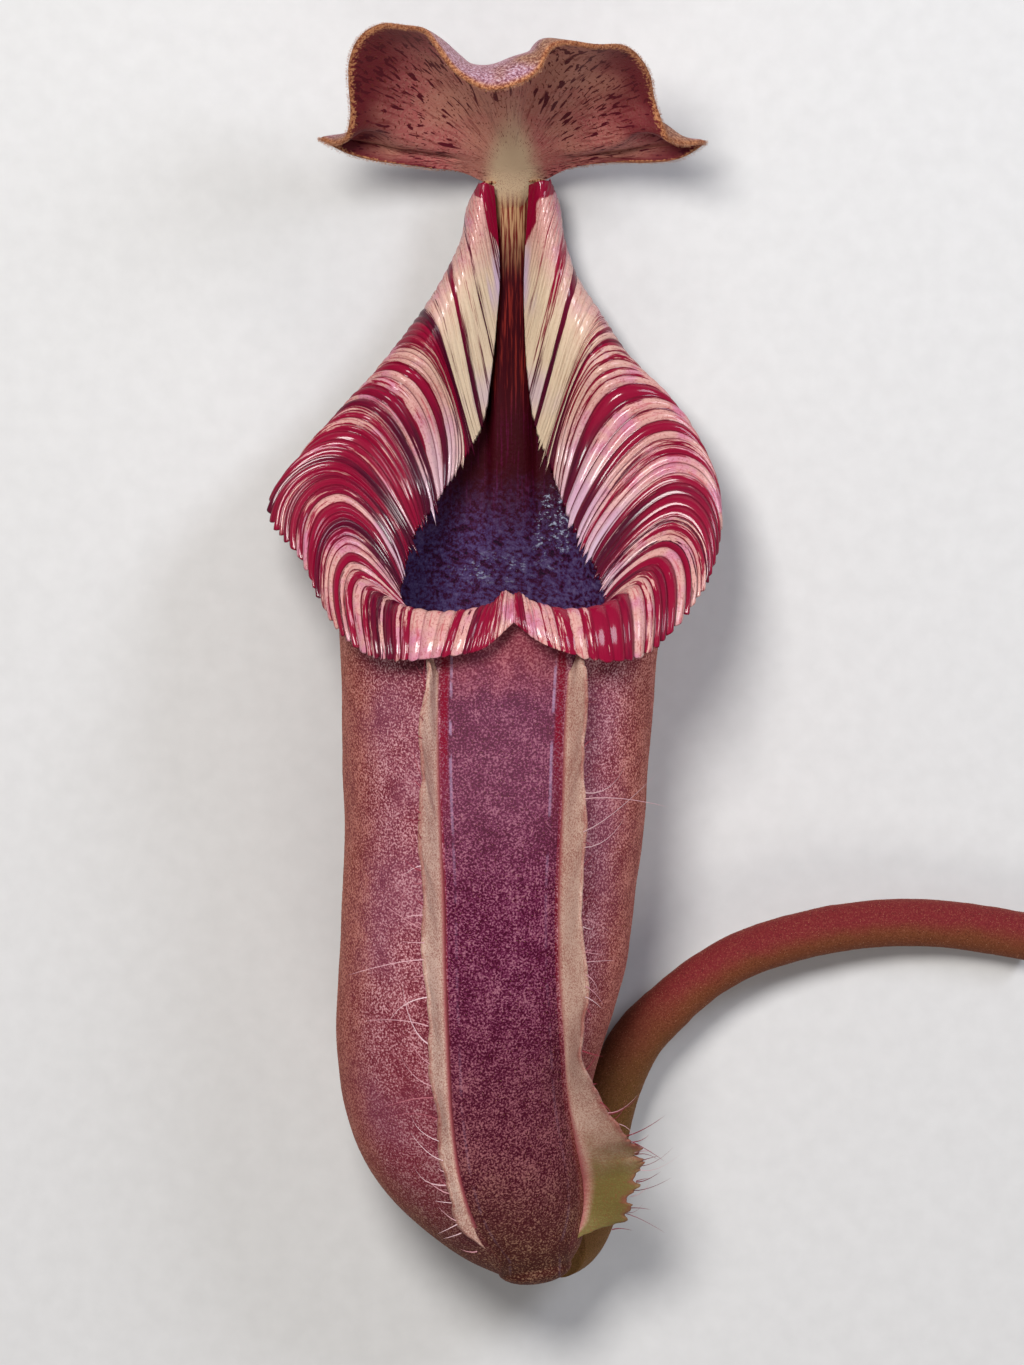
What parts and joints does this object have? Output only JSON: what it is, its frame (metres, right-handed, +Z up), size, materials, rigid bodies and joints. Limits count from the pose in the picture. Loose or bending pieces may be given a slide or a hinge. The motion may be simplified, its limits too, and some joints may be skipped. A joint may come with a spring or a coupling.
{
  "type": "pitcher trap of a pitcher plant",
  "caption": "Picked Nepenthes robcantleyi x lowii pitcher lying on its back: speckled hollow cup, ribbed and toothed striped peristome, waved lid, two fringed wings and a cut tendril.",
  "frame": {"origin": "centre of the bounding box, on the plane the pitcher rests on", "axes": "+Z up out of the front of the pitcher, which looks up; +Y along the pitcher from its rounded bottom to the lid; +X to the side the tendril leaves by"},
  "size_m": [0.125, 0.2038, 0.0555],
  "materials": {
    "cup_skin": "matt, velvety, speckled",
    "collar_gloss": "glossy, striped",
    "lid_skin": "satin, spotted",
    "stalk_skin": "matt, velvety",
    "wing_skin": "satin"
  },
  "bodies": {
    "root": {"cup": "cup_skin", "peristome": "collar_gloss", "lid": "lid_skin", "tendril": "stalk_skin", "wing_left": "wing_skin", "wing_right": "wing_skin"}
  },
  "joints": []
}
